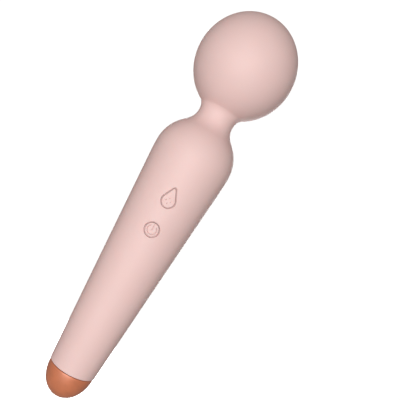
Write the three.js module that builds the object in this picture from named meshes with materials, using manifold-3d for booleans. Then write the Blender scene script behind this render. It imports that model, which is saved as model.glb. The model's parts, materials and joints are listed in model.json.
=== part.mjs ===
// A cordless handheld wand massager: a silicone skinned handle and ball head
// with a flexible neck, a copper coloured tail cap and two buttons in front.
// Millimetres, +Z along the wand with the head up, the buttons face -Y.
import * as THREE from 'three';
import { mergeVertices } from 'three/addons/utils/BufferGeometryUtils.js';
import Module from 'manifold-3d';

const wasm = await Module();
wasm.setup();

// ---- driving dimensions -------------------------------------------------
const TOTAL = 200;
const HEAD_RADIUS = 23.65;
const HEAD_HALF = 25.45; // half the head's height, an egg a little taller than wide
const HEAD_Z = TOTAL - HEAD_HALF;
const HEAD_LOW_ANGLE = -1.08; // where the head's ellipse ends and the neck's curve starts
const NECK_RADIUS = 8.95;
const NECK_Z = 147.3;
const SHOULDER_RADIUS = 18.95;
const SHOULDER_Z = 125.9;
const SHOULDER_HALF = 18.8;
const SHOULDER_HIGH_ANGLE = 0.82;
const TAPER_TOP_RADIUS = 18.15; // end of the handle's straight taper
const TAPER_TOP_Z = 111.1;
const SEAM_Z = 13.5; // where the tail cap meets the skin
const SEAM_RADIUS = 11.4;
const CAP_RADIUS = 11.15;
const CAP_HALF = 14.4; // the dome's own bottom lies just under the flat at the tail tip
const CAP_POWER = 2.1; // superellipse exponent of the cap's dome
const SKIN = 1.6;
const HEAD_SKIN = 2.0;
const HEAD_GAP = 0.45; // between the head's skin and its shells
const GAP = 0.25;
const SHELL = 1.5;
const SLEEVE_LOW = 141.3; // the flexible sleeve runs between these two heights
const SLEEVE_HIGH = 154.3;
const NODE_GAP = 0.3;
const SPLIT = 0.1; // half the gap between the two handle shells
const FAR = 30; // beyond the widest part, for cutting right through
const TOUCH = 0.05; // between two pieces that rest on each other

const POWER_Z = 89.5;
const POWER_PAD = 3.1;
const MODE_Z = 104.0;
const MODE_PAD = 2.95;
const MODE_POINT = 5.5; // from the drop's middle to the middle of its small tip circle
const MODE_TIP = 0.55;
const PAD_GAP = 0.5;
const PAD_DEPTH = 1.45;

const BATTERY_RADIUS = 7;
const BATTERY_LOW = 18.4;
const BATTERY_LENGTH = 50;
const BOARD_FRONT = -7.0; // y of the board's front face
const BOARD_THICK = 1.2;
const BOARD_WIDTH = 15.6;
const BOARD_LOW = 75.8;
const BOARD_HIGH = 121.0;

const MOTOR_RADIUS = 10;
const MOTOR_LOW = 161.4;
const MOTOR_HIGH = 183.4;
const SHAFT_RADIUS = 1.0;

const ROUND = 36; // facets round the skins
const ROUND_SHELL = 28;
const ROUND_INNER = 22;
const ROUND_SMALL = 18;

// ---- materials ----------------------------------------------------------
function material(name, colour, roughness, metalness) {
  const made = new THREE.MeshStandardMaterial({ color: colour, roughness, metalness });
  made.name = name;
  return made;
}

const pinkSilicone = material('pink_silicone', 0xefcbc6, 0.62, 0);
const copperFinish = material('copper_finish', 0xc8724e, 0.38, 0.85);
const whiteAbs = material('white_abs', 0xe9e6e1, 0.5, 0);
const greyNylon = material('grey_nylon', 0x5b5d60, 0.6, 0);
const blackPlastic = material('black_plastic', 0x1d1d20, 0.5, 0);
const steel = material('steel', 0xb9bbbe, 0.3, 1);
const springSteel = material('spring_steel', 0x9a9da1, 0.32, 1);
const gold = material('gold_plate', 0xd9b15a, 0.25, 1);
const nickel = material('nickel_plate', 0xc9c6bd, 0.28, 1);
const batteryWrap = material('battery_wrap', 0x2f6f9a, 0.4, 0);
const boardGreen = material('board_green', 0x1f5c3a, 0.45, 0);
const foam = material('grey_foam', 0x4a4a4c, 0.95, 0);
const blackRubber = material('black_rubber', 0x222224, 0.8, 0);
const redWire = material('red_wire', 0xb3262a, 0.5, 0);
const blackWire = material('black_wire', 0x17171a, 0.5, 0);
const bronze = material('bronze', 0xa9773f, 0.4, 1);
const ferrite = material('ferrite', 0x35363a, 0.7, 0);
const tungsten = material('sintered_weight', 0x77787c, 0.45, 1);
const clearLens = material('white_lens', 0xf4f2ea, 0.3, 0);

// ---- solids -------------------------------------------------------------
function solidOf(geometry) {
  const bare = geometry.clone();
  bare.deleteAttribute('normal');
  bare.deleteAttribute('uv');
  const merged = mergeVertices(bare, 1e-4);
  const index = merged.index.array;
  const corners = [];
  for (let i = 0; i < index.length; i += 3) {
    const [a, b, c] = [index[i], index[i + 1], index[i + 2]];
    if (a !== b && b !== c && c !== a) corners.push(a, b, c);
  }
  const vertProperties = new Float32Array(merged.attributes.position.array);
  return new wasm.Manifold(new wasm.Mesh({ numProp: 3, vertProperties, triVerts: new Uint32Array(corners) }));
}

function node(name, solid, finish) {
  const { vertProperties, triVerts } = solid.getMesh();
  const geometry = new THREE.BufferGeometry();
  geometry.setAttribute('position', new THREE.BufferAttribute(new Float32Array(vertProperties), 3));
  geometry.setIndex(new THREE.BufferAttribute(new Uint32Array(triVerts), 1));
  geometry.computeVertexNormals();
  const made = new THREE.Mesh(geometry, finish);
  made.name = name;
  return made;
}

// turned about Z from a closed profile of [radius, height] pairs
function turned(profile, facets = ROUND) {
  let area = 0;
  profile.forEach(([r, z], i) => {
    const [nextR, nextZ] = profile[(i + 1) % profile.length];
    area += r * nextZ - nextR * z;
  });
  const points = (area > 0 ? profile : [...profile].reverse()).map(([r, z]) => new THREE.Vector2(r, z));
  if (points[0].x > 0 || points[points.length - 1].x > 0) points.push(points[0].clone());
  const geometry = new THREE.LatheGeometry(points, facets);
  geometry.rotateX(Math.PI / 2);
  return solidOf(geometry);
}

function disc(radius, low, high, facets = ROUND_SMALL) {
  return turned([[0, low], [radius, low], [radius, high], [0, high]], facets);
}

function ring(inner, outer, low, high, facets = ROUND_SMALL) {
  return turned([[inner, low], [outer, low], [outer, high], [inner, high]], facets);
}

function block(x, y, z) {
  const geometry = new THREE.BoxGeometry(x[1] - x[0], y[1] - y[0], z[1] - z[0]);
  geometry.translate((x[0] + x[1]) / 2, (y[0] + y[1]) / 2, (z[0] + z[1]) / 2);
  return solidOf(geometry);
}

// a flat outline in X and Z, centred at height z, running from y low to y high
function prism(shape, z, low, high, curveSegments = 8) {
  const geometry = new THREE.ExtrudeGeometry(shape, { depth: high - low, bevelEnabled: false, curveSegments });
  geometry.rotateX(Math.PI / 2);
  geometry.translate(0, high, z);
  return solidOf(geometry);
}

// a round rod along Y
function rod(x, z, radius, low, high, facets = 16) {
  const geometry = new THREE.CylinderGeometry(radius, radius, high - low, facets);
  geometry.translate(x, (low + high) / 2, z);
  return solidOf(geometry);
}

function wire(curve, radius, steps, sides = 6) {
  const shape = new THREE.Shape();
  for (let i = 0; i < sides; i += 1) {
    const angle = (2 * Math.PI * i) / sides;
    const point = [radius * Math.cos(angle), radius * Math.sin(angle)];
    if (i === 0) shape.moveTo(...point);
    else shape.lineTo(...point);
  }
  return solidOf(new THREE.ExtrudeGeometry(shape, { steps, bevelEnabled: false, extrudePath: curve }));
}

function smoothWire(points, radius, steps) {
  const curve = new THREE.CatmullRomCurve3(points.map((p) => new THREE.Vector3(...p)));
  return wire(curve, radius, steps);
}

// ---- the outer outline --------------------------------------------------
function bodyOutline() {
  const path = new THREE.Path();
  path.moveTo(SEAM_RADIUS, SEAM_Z);
  path.lineTo(TAPER_TOP_RADIUS, TAPER_TOP_Z);
  const slope = (TAPER_TOP_RADIUS - SEAM_RADIUS) / (TAPER_TOP_Z - SEAM_Z);
  const ease = (SHOULDER_Z - TAPER_TOP_Z) / 3;
  path.bezierCurveTo(TAPER_TOP_RADIUS + slope * ease, TAPER_TOP_Z + ease,
    SHOULDER_RADIUS, SHOULDER_Z - ease, SHOULDER_RADIUS, SHOULDER_Z);
  path.absellipse(0, SHOULDER_Z, SHOULDER_RADIUS, SHOULDER_HALF, 0, SHOULDER_HIGH_ANGLE);
  const high = SHOULDER_HIGH_ANGLE;
  const start = [SHOULDER_RADIUS * Math.cos(high), SHOULDER_Z + SHOULDER_HALF * Math.sin(high)];
  const lowerPull = 0.21;
  const waistPull = 3;
  path.bezierCurveTo(
    start[0] - lowerPull * SHOULDER_RADIUS * Math.sin(high),
    start[1] + lowerPull * SHOULDER_HALF * Math.cos(high),
    NECK_RADIUS, NECK_Z - waistPull, NECK_RADIUS, NECK_Z);
  const low = HEAD_LOW_ANGLE;
  const end = [HEAD_RADIUS * Math.cos(low), HEAD_Z + HEAD_HALF * Math.sin(low)];
  const upperPull = 0.054;
  const creasePull = 2.3; // short pulls here turn the neck into the head in a tight curve
  path.bezierCurveTo(NECK_RADIUS, NECK_Z + creasePull,
    end[0] + upperPull * HEAD_RADIUS * Math.sin(low), end[1] - upperPull * HEAD_HALF * Math.cos(low),
    end[0], end[1]);
  path.absellipse(0, HEAD_Z, HEAD_RADIUS, HEAD_HALF, low, Math.PI / 2);
  return path;
}

const OUTLINE = bodyOutline();
const FINE = OUTLINE.getPoints(40);
const STATIONS = OUTLINE.getPoints(4);

function radiusAt(z) {
  const i = FINE.findIndex((point) => point.y > z);
  const [low, high] = [FINE[i - 1], FINE[i]];
  return low.x + ((high.x - low.x) * (z - low.y)) / (high.y - low.y);
}

// the radius of a surface that lies depth under the skin's outside
function insetRadius(z, depth) {
  const step = 0.3;
  const slope = (radiusAt(z + step) - radiusAt(z - step)) / (2 * step);
  return radiusAt(z) - depth * Math.sqrt(1 + slope * slope);
}

function heights(low, high) {
  const margin = 0.4;
  const between = STATIONS.map((p) => p.y).filter((z) => z > low + margin && z < high - margin);
  return [low, ...between, high];
}

function insetLine(low, high, depth) {
  return heights(low, high).map((z) => [insetRadius(z, depth), z]);
}

function domeLine(depth, low, high, count) {
  const radius = HEAD_RADIUS - depth;
  const half = HEAD_HALF - depth;
  const from = Math.asin((low - HEAD_Z) / half);
  const to = high === undefined ? Math.PI / 2 : Math.asin((high - HEAD_Z) / half);
  const line = [];
  for (let i = 0; i <= count; i += 1) {
    const angle = from + ((to - from) * i) / count;
    line.push([Math.max(radius * Math.cos(angle), 0), HEAD_Z + half * Math.sin(angle)]);
  }
  if (high === undefined) line[count][0] = 0;
  return line;
}

// ---- button outlines ----------------------------------------------------
function roundShape(radius) {
  const shape = new THREE.Shape();
  shape.absarc(0, 0, radius, 0, 2 * Math.PI);
  return shape;
}

function dropShape(grow) {
  const [big, small] = [MODE_PAD + grow, MODE_TIP + grow];
  const lean = Math.asin((big - small) / MODE_POINT);
  const shape = new THREE.Shape();
  shape.absarc(0, 0, big, Math.PI - lean, 2 * Math.PI + lean);
  shape.absarc(0, MODE_POINT, small, lean, Math.PI - lean);
  return shape;
}

function buttonOpenings(grow) {
  const behind = -4;
  return prism(roundShape(POWER_PAD + grow), POWER_Z, -FAR, behind, 10)
    .add(prism(dropShape(grow), MODE_Z, -FAR, behind, 8));
}

// ---- handle -------------------------------------------------------------
const SKIN_FOOT = SEAM_Z + 0.25;
const SKIN_TOP = SLEEVE_LOW - NODE_GAP;
const SKIN_CEILING = SLEEVE_LOW - 3.3; // inside, the skin turns in to the neck here
const SKIN_BORE = 6.9;
const SHELL_LOW = SEAM_Z + 1.9;
const SHELL_TOP = SKIN_CEILING - 0.7;
const SHELL_ROOF = 1.7;
const SHELL_BORE = 6.5;

function handleSkin() {
  const lip = 0.4;
  const foot = [];
  for (let i = 0; i <= 4; i += 1) {
    const angle = -Math.PI / 2 + (Math.PI / 2) * (i / 4);
    foot.push([SEAM_RADIUS + 0.03 - lip + lip * Math.cos(angle), SKIN_FOOT + lip + lip * Math.sin(angle)]);
  }
  const outside = insetLine(SKIN_FOOT + lip + 0.5, SKIN_TOP, 0);
  const inside = insetLine(SKIN_FOOT + 1, SKIN_CEILING, SKIN).reverse();
  const innerFoot = inside[inside.length - 1][0];
  const profile = [...foot, ...outside, [SKIN_BORE, SKIN_TOP], [SKIN_BORE, SKIN_CEILING], ...inside,
    [innerFoot, SKIN_FOOT]];
  return turned(profile).subtract(buttonOpenings(PAD_GAP));
}

const SHELL_SCREWS = [
  { x: -7.4, z: 72.6 }, { x: 7.4, z: 72.6 },
  { x: -9.2, z: 127.2 }, { x: 9.2, z: 127.2 },
];
const BOSS_RADIUS = 2.7;
const SCREW_RADIUS = 0.95;
const SCREW_HEAD_RADIUS = 1.8;
const SCREW_HEAD = 1.3;
const SCREW_SUNK = 3.1;
const BOARD_SCREWS = [BOARD_LOW + 3.4, BOARD_HIGH - 3.0];
const SHELL_SCREW_TIP = -6;
const BOARD_SCREW_DEEP = 3.2;
const BOARD_POST = 1.9;
const BOARD_SCREW_RADIUS = 0.8;

function screwSeat({ x, z }) {
  const reach = Math.sqrt(insetRadius(z, SKIN + GAP) ** 2 - x * x);
  return reach - SCREW_SUNK; // y of the seat under the screw's head
}

function shellWall() {
  const outside = insetLine(SHELL_LOW, SHELL_TOP, SKIN + GAP);
  const inside = insetLine(SHELL_LOW, SHELL_TOP - SHELL_ROOF, SKIN + GAP + SHELL).reverse();
  return turned([...outside, [SHELL_BORE, SHELL_TOP], [SHELL_BORE, SHELL_TOP - SHELL_ROOF], ...inside],
    ROUND_SHELL);
}

function shellFilling() {
  const outside = insetLine(SHELL_LOW + 0.1, SHELL_TOP - 0.1, SKIN + GAP + 0.4);
  return turned([[0, SHELL_LOW + 0.1], ...outside, [0, SHELL_TOP - 0.1]], ROUND_SHELL);
}

function frontShell() {
  const filling = shellFilling();
  let shell = shellWall();
  const posts = [];
  SHELL_SCREWS.forEach(({ x, z }) => posts.push(rod(x, z, BOSS_RADIUS, -FAR, -SPLIT)));
  BOARD_SCREWS.forEach((z) => posts.push(rod(0, z, BOARD_POST, -FAR, BOARD_FRONT - TOUCH)));
  posts.forEach((post) => { shell = shell.add(post.intersect(filling)); });
  shell = shell.intersect(block([-FAR, FAR], [-FAR, -SPLIT], [0, TOTAL]));
  const pilot = 0.06;
  SHELL_SCREWS.forEach(({ x, z }) => {
    shell = shell.subtract(rod(x, z, SCREW_RADIUS + pilot, SHELL_SCREW_TIP - 0.4, 0));
  });
  BOARD_SCREWS.forEach((z) => {
    shell = shell.subtract(rod(0, z, BOARD_SCREW_RADIUS + pilot, BOARD_FRONT - BOARD_SCREW_DEEP - 0.4, 0, 12));
  });
  return shell.subtract(buttonOpenings(PAD_GAP + 0.25));
}

function rearShell() {
  const filling = shellFilling();
  let shell = shellWall();
  SHELL_SCREWS.forEach(({ x, z }) => {
    shell = shell.add(rod(x, z, BOSS_RADIUS, SPLIT, FAR).intersect(filling));
  });
  shell = shell.intersect(block([-FAR, FAR], [SPLIT, FAR], [0, TOTAL]));
  SHELL_SCREWS.forEach((at) => {
    shell = shell.subtract(rod(at.x, at.z, SCREW_RADIUS + 0.2, 0, FAR));
    shell = shell.subtract(rod(at.x, at.z, SCREW_HEAD_RADIUS + 0.15, screwSeat(at), FAR));
  });
  return shell;
}

// a pan head screw along Y, its head towards +Y on a seat at the given y
function screw(x, z, radius, headRadius, head, seat, tip) {
  const deep = [seat + head / 2, seat + head + 1];
  const arm = headRadius * 0.6;
  const slot = 0.25;
  const cross = block([x - slot, x + slot], deep, [z - arm, z + arm])
    .add(block([x - arm, x + arm], deep, [z - slot, z + slot]));
  return rod(x, z, radius, tip, seat + 2 * TOUCH, 14)
    .add(rod(x, z, headRadius, seat + TOUCH, seat + head, 18))
    .subtract(cross);
}

function shellScrews() {
  return SHELL_SCREWS.map((at, i) => node(`shell_screw_${i + 1}`,
    screw(at.x, at.z, SCREW_RADIUS, SCREW_HEAD_RADIUS, SCREW_HEAD, screwSeat(at), SHELL_SCREW_TIP), steel));
}

// ---- tail ---------------------------------------------------------------
const INSULATOR_RADIUS = 3.9;
const INSULATOR_FLANGE = 4.45;
const INSULATOR_HIGH = 2.8;
const PIN_RADIUS = 0.9;
const PIN_X = 1.95;
const MAGNET_Y = 3.1;
const CARRIER_LOW = 7.6;
const CARRIER_FLOOR = 9.1;
const CHARGE_BOARD_LOW = CARRIER_FLOOR + 0.3;

function domeOfCap(radius, half, low, high, count) {
  const from = Math.asin(((SEAM_Z - high) / half) ** (CAP_POWER / 2));
  const to = Math.asin(((SEAM_Z - low) / half) ** (CAP_POWER / 2));
  const line = [];
  for (let i = 0; i <= count; i += 1) {
    const angle = to + ((from - to) * i) / count;
    const [across, down] = [Math.cos(angle), Math.sin(angle)].map((part) => part ** (2 / CAP_POWER));
    line.push([radius * across, SEAM_Z - half * down]);
  }
  return line;
}

function tailCap() {
  const wall = 1.0;
  const floor = 1.3;
  const rim = SEAM_Z;
  const edge = 0.25; // a small rounding of the rim
  const outside = domeOfCap(CAP_RADIUS, CAP_HALF, 0, rim - edge, 8);
  const inside = domeOfCap(CAP_RADIUS - wall, CAP_HALF - wall, floor, rim - 0.1, 4).reverse();
  const hole = INSULATOR_RADIUS + TOUCH;
  return turned([[hole, 0], ...outside, [CAP_RADIUS - edge, rim], ...inside, [hole, floor]]);
}

function contactInsulator() {
  const low = 1.45;
  let plug = turned([[0, 0], [INSULATOR_RADIUS, 0], [INSULATOR_RADIUS, low], [INSULATOR_FLANGE, low],
    [INSULATOR_FLANGE, INSULATOR_HIGH], [0, INSULATOR_HIGH]], ROUND_INNER);
  [-PIN_X, PIN_X].forEach((x) => {
    plug = plug.subtract(disc(PIN_RADIUS + TOUCH, -1, INSULATOR_HIGH + 1, 14).translate([x, 0, 0]));
  });
  return plug;
}

function capCarrier() {
  const cup = 8.6;
  const spigot = 7.75;
  const flange = 9.7;
  const bore = 6.7;
  const flangeLow = SEAM_Z - 1.5;
  const flangeHigh = SEAM_Z - 0.2;
  const high = SEAM_Z + 4.5;
  let carrier = turned([[0, CARRIER_LOW], [cup, CARRIER_LOW], [cup, flangeLow], [flange, flangeLow],
    [flange, flangeHigh], [spigot, flangeHigh], [spigot, high], [bore, high], [bore, CARRIER_FLOOR],
    [0, CARRIER_FLOOR]], ROUND_INNER);
  [-PIN_X, PIN_X].forEach((x) => {
    const hole = disc(PIN_RADIUS + 0.15, CARRIER_LOW - 1, CARRIER_FLOOR + 1, 14);
    carrier = carrier.subtract(hole.translate([x, 0, 0]));
  });
  return carrier;
}

function capSeal() {
  const section = [];
  const sides = 8;
  const thick = 0.6;
  for (let i = 0; i < sides; i += 1) {
    const angle = (2 * Math.PI * i) / sides;
    section.push([8.65 + thick * Math.cos(angle), SEAM_Z + 0.8 + thick * Math.sin(angle)]);
  }
  return turned(section, ROUND_INNER);
}

function tail() {
  const group = new THREE.Group();
  group.name = 'tail';
  group.add(node('tail_cap', tailCap(), copperFinish));
  group.add(node('contact_insulator', contactInsulator(), blackPlastic));
  [['charge_pin_positive', PIN_X], ['charge_pin_negative', -PIN_X]].forEach(([name, x]) => {
    group.add(node(name, disc(PIN_RADIUS, 0, CHARGE_BOARD_LOW - TOUCH, 14).translate([x, 0, 0]), gold));
  });
  [['tail_magnet_front', -MAGNET_Y], ['tail_magnet_back', MAGNET_Y]].forEach(([name, y]) => {
    group.add(node(name, disc(1.5, INSULATOR_HIGH + 0.2, CARRIER_LOW - 0.2, 16).translate([0, y, 0]), nickel));
  });
  group.add(node('cap_carrier', capCarrier(), blackPlastic));
  group.add(node('cap_seal', capSeal(), blackRubber));
  group.add(node('charge_board', disc(6.3, CHARGE_BOARD_LOW, CHARGE_BOARD_LOW + 1), boardGreen));
  return group;
}

// ---- battery and board --------------------------------------------------
const NUB_HIGH = 0.7; // the raised end of the cell
const TAB_LOW = BATTERY_LOW + BATTERY_LENGTH + NUB_HIGH + TOUCH;
const TAB_THICK = 0.3;

function battery() {
  const high = BATTERY_LOW + BATTERY_LENGTH;
  const edge = 0.5;
  const nub = 2.6;
  const group = new THREE.Group();
  group.name = 'battery';
  const side = BATTERY_RADIUS - edge;
  const cell = turned([[0, BATTERY_LOW], [side, BATTERY_LOW], [BATTERY_RADIUS, BATTERY_LOW + edge],
    [BATTERY_RADIUS, high - edge], [side, high], [nub, high], [nub, high + NUB_HIGH], [0, high + NUB_HIGH]],
  ROUND_INNER);
  group.add(node('battery_cell', cell, batteryWrap));
  group.add(node('battery_pad', disc(6.3, BATTERY_LOW - 2.6, BATTERY_LOW - 0.1), foam));
  group.add(node('battery_tab', block([-2, 2], [-2.2, 4.5], [TAB_LOW, TAB_LOW + TAB_THICK]), nickel));
  return group;
}

const BOARD_BACK = BOARD_FRONT + BOARD_THICK;

function circuitBoard() {
  const half = BOARD_WIDTH / 2;
  let board = block([-half, half], [BOARD_FRONT, BOARD_BACK], [BOARD_LOW, BOARD_HIGH]);
  BOARD_SCREWS.forEach((z) => {
    board = board.subtract(rod(0, z, BOARD_SCREW_RADIUS + 0.2, BOARD_FRONT - 1, 0, 12));
  });
  return board;
}

const SWITCH_SIZE = 6;
const SWITCH_DEEP = 2.6;
const SWITCH_FRONT = BOARD_FRONT - TOUCH - SWITCH_DEEP;
const STEM_RADIUS = 1.5;
const STEM_WELL = 2.0;

function switchBody(z) {
  const half = SWITCH_SIZE / 2;
  return block([-half, half], [SWITCH_FRONT, BOARD_FRONT - TOUCH], [z - half, z + half])
    .subtract(rod(0, z, STEM_RADIUS + 0.12, SWITCH_FRONT - 1, SWITCH_FRONT + STEM_WELL));
}

const SOCKET_DEEP = 3.6;
const SOCKET_HIGH = 4.6;
const BATTERY_SOCKET_LOW = BOARD_LOW + 6.7;
const MOTOR_SOCKET_TOP = BOARD_HIGH - 5.8;

function board() {
  const group = new THREE.Group();
  group.name = 'electronics';
  const back = BOARD_BACK + TOUCH;
  const front = BOARD_FRONT - TOUCH;
  group.add(node('circuit_board', circuitBoard(), boardGreen));
  BOARD_SCREWS.forEach((z, i) => group.add(node(`board_screw_${i + 1}`,
    screw(0, z, BOARD_SCREW_RADIUS, 1.5, 0.9, back, BOARD_FRONT - BOARD_SCREW_DEEP), steel)));
  group.add(node('power_switch', switchBody(POWER_Z), blackPlastic));
  group.add(node('mode_switch', switchBody(MODE_Z), blackPlastic));
  group.add(node('controller_chip', block([-3.5, 3.5], [back, back + 1.3], [98, 105]), blackPlastic));
  group.add(node('battery_socket', block([1.5, 6.9], [back, back + SOCKET_DEEP],
    [BATTERY_SOCKET_LOW, BATTERY_SOCKET_LOW + SOCKET_HIGH]), clearLens));
  group.add(node('motor_socket', block([-6.9, -1.5], [back, back + SOCKET_DEEP],
    [MOTOR_SOCKET_TOP - SOCKET_HIGH, MOTOR_SOCKET_TOP]), clearLens));
  group.add(node('status_led', block([-1.0, 1.0], [front - 0.9, front], [96.2, 97.8]), clearLens));
  return group;
}

// ---- leads --------------------------------------------------------------
const COLLAR_LOW = SHELL_TOP - 5.3;
const LEAD_RADIUS = 0.6;
const CABLE_RADIUS = 1.3;

function leads() {
  const group = new THREE.Group();
  group.name = 'leads';
  const tabTop = TAB_LOW + TAB_THICK + LEAD_RADIUS + 0.1;
  const socketY = BOARD_BACK + 2;
  const plug = BATTERY_SOCKET_LOW - 0.5;
  const red = [[0, 0.5, tabTop], [2.4, 0.8, tabTop + 2.2], [3.1, -0.5, plug - 5], [3.1, socketY, plug]];
  const black = [[0, 3.4, tabTop], [3.0, 3.4, tabTop + 2.6], [5.3, 0.5, plug - 4], [5.3, socketY, plug]];
  group.add(node('battery_lead_red', smoothWire(red, LEAD_RADIUS, 16), redWire));
  group.add(node('battery_lead_black', smoothWire(black, LEAD_RADIUS, 16), blackWire));
  const start = MOTOR_SOCKET_TOP + 0.5;
  const cable = [[-4.2, socketY + 0.2, start], [-4.0, -2.6, start + 3.8], [-1.4, -0.6, start + 10.3],
    [0, 0, COLLAR_LOW + 1], [0, 0, SKIN_TOP - 0.1]];
  group.add(node('motor_cable_handle', smoothWire(cable, CABLE_RADIUS, 16), blackWire));
  return group;
}

// ---- neck ---------------------------------------------------------------
const SPRING_LOW = SLEEVE_LOW - 4.9;
const SPRING_HIGH = SLEEVE_HIGH + 2.3;
const SPRING_RADIUS = 4.3;
const SPRING_WIRE = 0.62;
const SPRING_TURNS = 9;
const SPRING_SOCKET = SPRING_RADIUS + SPRING_WIRE + 0.23; // inside radius of the two spring sockets
const SOCKET_WALL = 1.05;

function neckCollar() {
  const high = SKIN_TOP - 0.2;
  const flange = 9.2;
  const step = COLLAR_LOW + 3.2;
  const floor = SPRING_LOW - 1;
  const bore = 2.2;
  const wall = SPRING_SOCKET + SOCKET_WALL;
  return turned([[bore, COLLAR_LOW], [flange, COLLAR_LOW], [flange, step], [wall, step], [wall, high],
    [SPRING_SOCKET, high], [SPRING_SOCKET, floor], [bore, floor]], ROUND_INNER);
}

const SLEEVE_BORE = 6.6;

class Helix extends THREE.Curve {
  getPoint(t, target = new THREE.Vector3()) {
    const angle = 2 * Math.PI * SPRING_TURNS * t;
    const z = SPRING_LOW + (SPRING_HIGH - SPRING_LOW) * t;
    return target.set(SPRING_RADIUS * Math.cos(angle), SPRING_RADIUS * Math.sin(angle), z);
  }
}

function neck() {
  const group = new THREE.Group();
  group.name = 'neck';
  const outside = insetLine(SLEEVE_LOW, SLEEVE_HIGH, 0);
  group.add(node('neck_sleeve', turned([[SLEEVE_BORE, SLEEVE_LOW], ...outside, [SLEEVE_BORE, SLEEVE_HIGH]]),
    pinkSilicone));
  group.add(node('neck_spring', wire(new Helix(), SPRING_WIRE, SPRING_TURNS * 12, 5), springSteel));
  group.add(node('motor_cable_neck', disc(CABLE_RADIUS, SLEEVE_LOW, SLEEVE_HIGH, 12), blackWire));
  return group;
}

// ---- head ---------------------------------------------------------------
const HEAD_LOW = SLEEVE_HIGH + NODE_GAP;
const HEAD_SHELL_LOW = HEAD_LOW + 2.3;
const HEAD_SHELL_FLOOR = HEAD_SHELL_LOW + 1.9;
const HEAD_SHELL_BORE = 6.4;
const HEAD_SPLIT = HEAD_Z + 1.3;

function headSkin() {
  const floor = HEAD_SHELL_LOW - NODE_GAP;
  const outside = insetLine(HEAD_LOW, HEAD_Z - 16, 0);
  const dome = domeLine(0, HEAD_Z - 14, undefined, 12);
  const inside = domeLine(HEAD_SKIN, floor, undefined, 9).reverse();
  return turned([[SLEEVE_BORE, HEAD_LOW], ...outside, ...dome, ...inside, [SLEEVE_BORE, floor]]);
}

function headShellLower() {
  const outside = domeLine(HEAD_SKIN + HEAD_GAP, HEAD_SHELL_LOW, HEAD_SPLIT - 0.15, 6);
  const inside = domeLine(HEAD_SKIN + HEAD_GAP + SHELL, HEAD_SHELL_FLOOR, HEAD_SPLIT - 0.15, 5).reverse();
  return turned([[HEAD_SHELL_BORE, HEAD_SHELL_LOW], ...outside, ...inside, [HEAD_SHELL_BORE, HEAD_SHELL_FLOOR]],
    ROUND_SHELL);
}

function headShellUpper() {
  const outside = domeLine(HEAD_SKIN + HEAD_GAP, HEAD_SPLIT + 0.15, undefined, 7);
  const inside = domeLine(HEAD_SKIN + HEAD_GAP + SHELL, HEAD_SPLIT + 0.15, undefined, 6).reverse();
  return turned([...outside, ...inside], ROUND_SHELL);
}

function neckPlug() {
  const wall = SPRING_SOCKET + SOCKET_WALL;
  const roof = SPRING_HIGH + 0.9;
  const seat = HEAD_SHELL_FLOOR + 0.15;
  const flange = 8.2;
  const high = MOTOR_LOW - 1.2;
  const bore = 1.8;
  return turned([[bore, roof], [SPRING_SOCKET, roof], [SPRING_SOCKET, HEAD_LOW], [wall, HEAD_LOW], [wall, seat],
    [flange, seat], [flange, high], [bore, high]], ROUND_INNER);
}

const MOUNT_RADIUS = 12.5;
const CRADLE_HIGH = MOTOR_HIGH + 0.4;

function motorCradle() {
  const inner = MOUNT_RADIUS + 0.25;
  const outer = inner + 1.45;
  const flange = 19.0;
  const seat = HEAD_SPLIT - 0.3;
  const under = seat - 1.6;
  const low = MOTOR_LOW + 2.6;
  return turned([[inner, low], [outer, low], [outer, under], [flange, under], [flange, seat], [outer, seat],
    [outer, CRADLE_HIGH], [inner, CRADLE_HIGH]], ROUND_SHELL);
}

function motorMount() {
  return ring(MOTOR_RADIUS + TOUCH, MOUNT_RADIUS, MOTOR_LOW + 3.6, MOTOR_HIGH - 1.9, ROUND_INNER);
}

function clampRing() {
  return ring(8.4, MOUNT_RADIUS + 1.1, CRADLE_HIGH + 0.3, CRADLE_HIGH + 1.7, ROUND_INNER);
}

const CAN_WALL = 0.8;
const BUSH_RADIUS = 2.35;
const BUSH_HIGH = MOTOR_HIGH + 1.4;
const RUNNING_FIT = 0.05;

function motorCan() {
  const boss = BUSH_RADIUS + 0.85;
  const bore = BUSH_RADIUS + TOUCH;
  const side = MOTOR_RADIUS - CAN_WALL;
  const roof = MOTOR_HIGH - CAN_WALL;
  return turned([[side, MOTOR_LOW], [MOTOR_RADIUS, MOTOR_LOW], [MOTOR_RADIUS, roof], [side, MOTOR_HIGH],
    [boss, MOTOR_HIGH], [boss, BUSH_HIGH], [bore, BUSH_HIGH], [bore, roof], [side, roof]], ROUND_INNER);
}

function shaftBush() {
  return ring(SHAFT_RADIUS + RUNNING_FIT, BUSH_RADIUS, MOTOR_HIGH - CAN_WALL, BUSH_HIGH, ROUND_INNER);
}

const TERMINAL_X = 5.5;
const TERMINAL_SPAN = [MOTOR_LOW - 1, MOTOR_LOW + 2.6];

function motorEndCap() {
  const radius = MOTOR_RADIUS - CAN_WALL - 0.3;
  let cap = ring(SHAFT_RADIUS + RUNNING_FIT, radius, MOTOR_LOW, MOTOR_LOW + 1.6, ROUND_INNER);
  [-TERMINAL_X, TERMINAL_X].forEach((x) => {
    cap = cap.subtract(block([x - 0.35, x + 0.35], [-1.3, 1.3], TERMINAL_SPAN));
  });
  return cap;
}

// one of the two curved magnets inside the motor, a half ring less its ends
function statorMagnet(side) {
  const [low, high] = [MOTOR_LOW + 4, MOTOR_LOW + 17];
  const slot = 2.2;
  const across = side > 0 ? [slot, FAR] : [-FAR, -slot];
  return ring(7.3, MOTOR_RADIUS - CAN_WALL - 0.15, low, high, ROUND_INNER)
    .intersect(block(across, [-FAR, FAR], [low - 1, high + 1]));
}

function motorTerminal(x) {
  return block([x - 0.25, x + 0.25], [-1.2, 1.2], TERMINAL_SPAN);
}

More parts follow.
